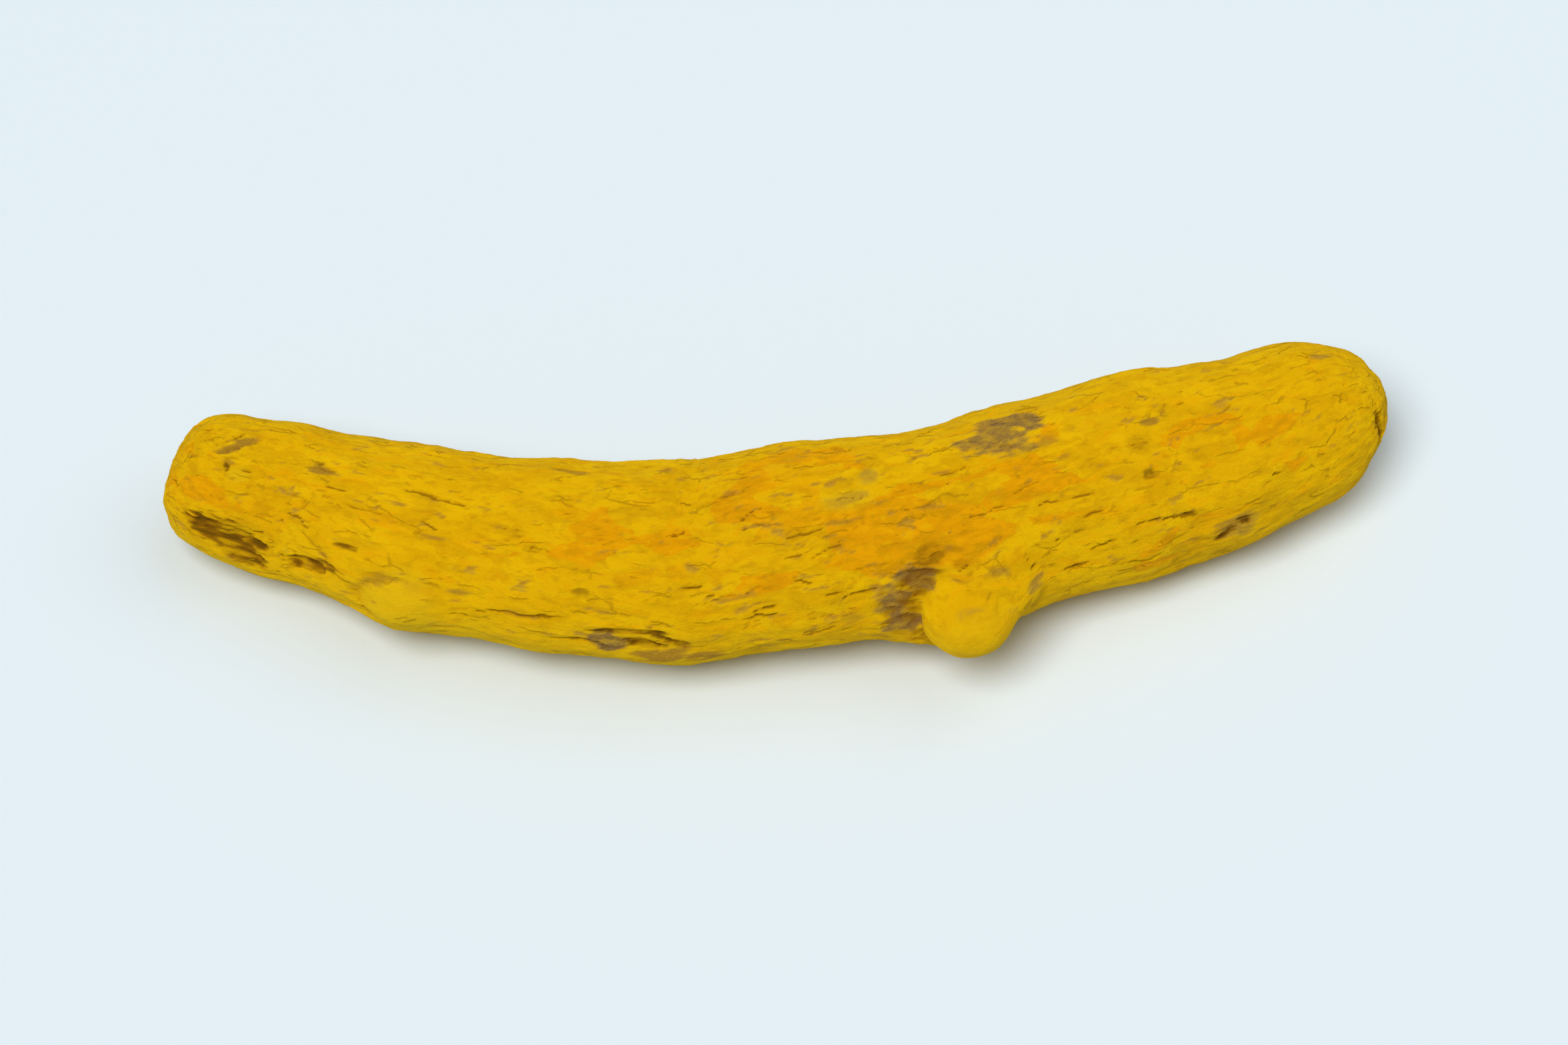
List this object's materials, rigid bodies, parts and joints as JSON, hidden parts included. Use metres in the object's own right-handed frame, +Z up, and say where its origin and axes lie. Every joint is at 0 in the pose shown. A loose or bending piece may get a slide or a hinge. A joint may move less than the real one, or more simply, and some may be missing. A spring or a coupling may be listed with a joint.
{
  "type": "dried turmeric root",
  "caption": "Bowed finger of dried turmeric root with a round side bud, for set dressing, cooking scenes and handling.",
  "frame": {"origin": "on the table, under the middle of the finger's bounding box", "axes": "+X along the finger to its rounded growing tip, -Y to the outside of its bow and the side bud, +Z up"},
  "size_m": [0.085, 0.0238, 0.0136],
  "materials": {
    "dried_skin": "matte, powdery"
  },
  "bodies": {
    "root": {"turmeric_finger": "dried_skin"}
  },
  "joints": []
}
